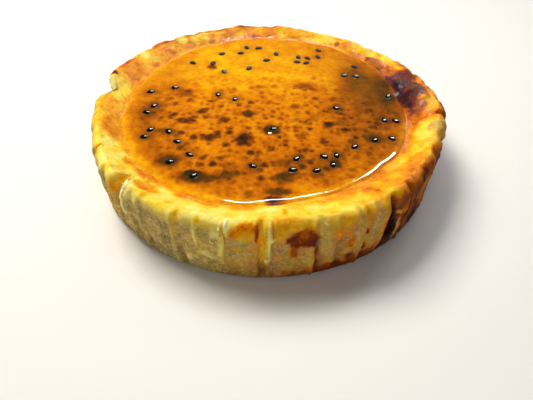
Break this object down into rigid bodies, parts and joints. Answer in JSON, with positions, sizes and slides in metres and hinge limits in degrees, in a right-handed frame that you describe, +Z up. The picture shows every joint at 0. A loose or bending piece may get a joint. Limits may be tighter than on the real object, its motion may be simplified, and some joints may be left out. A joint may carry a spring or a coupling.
{
  "type": "basque cheesecake",
  "caption": "Low round cheesecake with a puffed browned rim, paper folds pressed into its side and a sunken top filled with a glossy fruit topping and seeds.",
  "frame": {"origin": "centre of the cake's underside, where it rests on a plate", "axes": "+Z up through the cake; -Y to the side that faces the camera in the picture, +X to the picture's right"},
  "size_m": [0.1967, 0.1971, 0.0392],
  "materials": {
    "baked_cheesecake": "soft baked crust, cream to deep brown",
    "passion_fruit": "wet amber topping with black seeds"
  },
  "bodies": {
    "root": {"cheesecake": "baked_cheesecake", "topping": "passion_fruit"}
  },
  "joints": []
}
